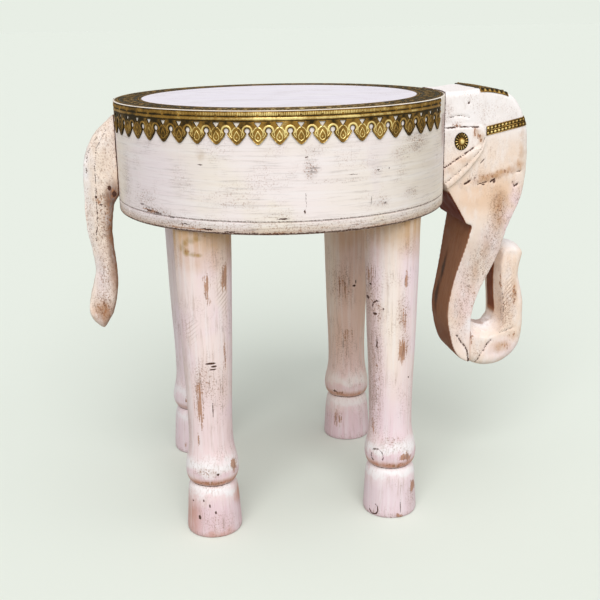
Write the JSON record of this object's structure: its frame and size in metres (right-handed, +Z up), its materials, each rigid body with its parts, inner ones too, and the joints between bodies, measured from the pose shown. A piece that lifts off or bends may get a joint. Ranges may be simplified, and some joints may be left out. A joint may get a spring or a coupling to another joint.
{
  "type": "elephant coffee table",
  "caption": "Low round table shaped as an elephant: a boarded drum on turned legs, with a carved head, curled trunk and tail, and pierced brass trim.",
  "frame": {"origin": "on the floor, on the drum's axis, midway between the feet", "axes": "+X towards the head, +Y to the elephant's left, +Z up"},
  "size_m": [0.5112, 0.3656, 0.4653],
  "materials": {
    "whitewashed_top": "whitewash rubbed back to the grain",
    "whitewashed_drum": "whitewash rubbed back to the grain",
    "whitewashed_legs": "whitewash worn through to brown wood",
    "whitewashed_carving": "whitewash worn through to brown wood",
    "raw_wood": "bare sawn wood",
    "brass_sheet": "embossed sheet with dark patina",
    "brass_nails": "rubbed bright on the heads",
    "steel_screws": "dull steel"
  },
  "bodies": {
    "root": {"base_board_1": "whitewashed_drum", "base_board_2": "whitewashed_drum", "base_board_3": "whitewashed_drum", "brass_crown_plate": "brass_sheet", "brass_forehead_strip": "brass_sheet", "brass_fringe_left": "brass_sheet", "brass_fringe_right": "brass_sheet", "brass_top_ring": "brass_sheet", "curl_dowels": "raw_wood", "eye_nails": "brass_nails", "eye_rosette_left": "brass_sheet", "eye_rosette_right": "brass_sheet", "fringe_nails": "brass_nails", "head_and_trunk": "whitewashed_carving", "head_screws": "steel_screws", "head_trim_nails": "brass_nails", "leg_front_left": "whitewashed_legs", "leg_front_right": "whitewashed_legs", "leg_rear_left": "whitewashed_legs", "leg_rear_right": "whitewashed_legs", "leg_wedges": "raw_wood", "rail_front_left_to_rear_right": "raw_wood", "rail_front_right_to_rear_left": "raw_wood", "rail_screws": "steel_screws", "tail": "whitewashed_carving", "tail_screws": "steel_screws", "top_board_1": "whitewashed_top", "top_board_2": "whitewashed_top", "top_board_3": "whitewashed_top", "top_board_4": "whitewashed_top", "top_board_5": "whitewashed_top", "top_ring_nails": "brass_nails", "trunk_curl": "whitewashed_carving", "wall_lower_segment_1": "whitewashed_drum", "wall_lower_segment_2": "whitewashed_drum", "wall_lower_segment_3": "whitewashed_drum", "wall_lower_segment_4": "whitewashed_drum", "wall_lower_segment_5": "whitewashed_drum", "wall_lower_segment_6": "whitewashed_drum", "wall_upper_segment_1": "whitewashed_drum", "wall_upper_segment_2": "whitewashed_drum", "wall_upper_segment_3": "whitewashed_drum", "wall_upper_segment_4": "whitewashed_drum", "wall_upper_segment_5": "whitewashed_drum", "wall_upper_segment_6": "whitewashed_drum"}
  },
  "joints": []
}
